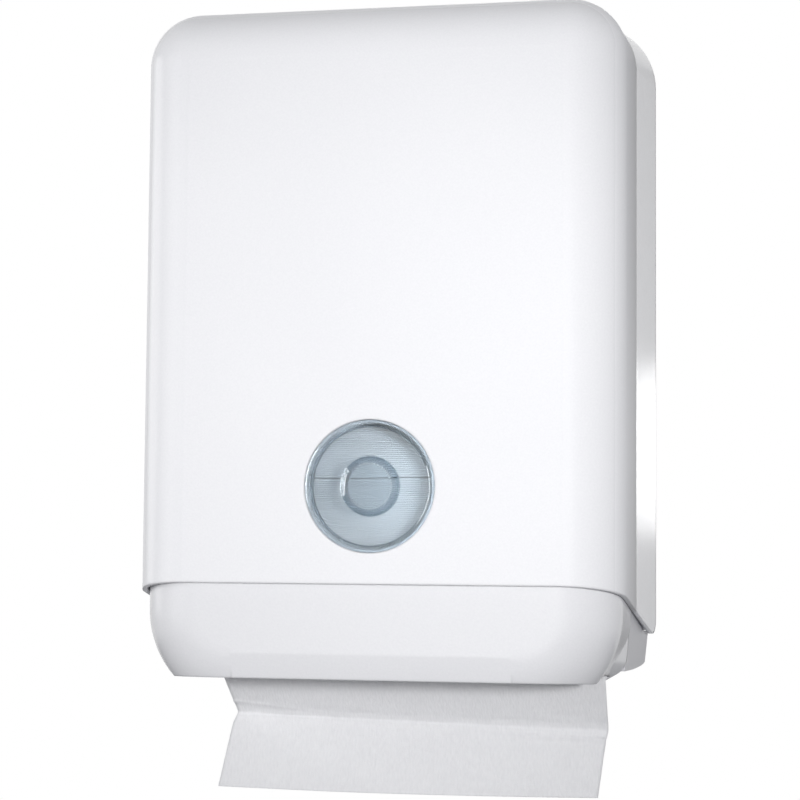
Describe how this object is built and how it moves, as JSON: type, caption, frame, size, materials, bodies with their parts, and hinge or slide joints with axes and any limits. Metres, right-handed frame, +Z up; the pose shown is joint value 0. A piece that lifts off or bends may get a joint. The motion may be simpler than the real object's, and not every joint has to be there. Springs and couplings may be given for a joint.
{
  "type": "folded towel dispenser",
  "caption": "Wall-mounted dispenser for folded paper towels: white moulded cover with a round window that swings down on a low hinge, a chin with the outlet, a top lock.",
  "frame": {"origin": "centre of the four wall-screw holes, on the back face that lies against the wall", "axes": "+X to the viewer's right when facing the dispenser, +Y into the wall, +Z up"},
  "size_m": [0.301, 0.1305, 0.4701],
  "materials": {
    "white_abs": "smooth moulded white plastic with a soft gloss",
    "inner_plastic": "moulded off-white plastic, satin",
    "smoked_clear": "clear plastic with a light grey tint, glossy",
    "bush_plastic": "natural acetal, dull",
    "plated_steel": "zinc-plated steel, fine satin",
    "lock_metal": "nickel-plated, bright",
    "rubber": "dull black",
    "towel_paper": "white creped towel paper"
  },
  "bodies": {
    "base": {"back_plate": "white_abs", "chin_panel": "white_abs", "throat_plate": "inner_plastic", "throat_screws": "plated_steel", "towel_guide_left": "inner_plastic", "towel_guide_right": "inner_plastic", "guide_screws": "plated_steel", "hinge_bush_left": "bush_plastic", "hinge_bush_right": "bush_plastic", "cover_buffers": "rubber", "lock_keeper": "plated_steel", "keeper_screws": "plated_steel", "towel_stack": "towel_paper", "hanging_towel": "towel_paper"},
    "cover": {"front_cover": "white_abs", "window_lens": "smoked_clear", "lens_retainer": "inner_plastic", "hinge_pin_left": "plated_steel", "hinge_pin_right": "plated_steel", "lock_barrel": "lock_metal", "lock_nut": "plated_steel"},
    "lock": {"lock_plug": "lock_metal", "lock_cam": "plated_steel", "cam_screw": "plated_steel"}
  },
  "joints": [
    {"name": "cover_hinge", "type": "hinge", "parent": "base", "child": "cover", "pos_m": [0, -0.0105, -0.1615], "axis": [1, 0, 0], "range_deg": [0, 100]},
    {"name": "lock_turn", "type": "hinge", "parent": "cover", "child": "lock", "pos_m": [0, -0.028, 0.19], "axis": [0, 0, 1], "range_deg": [-90, 0]}
  ]
}
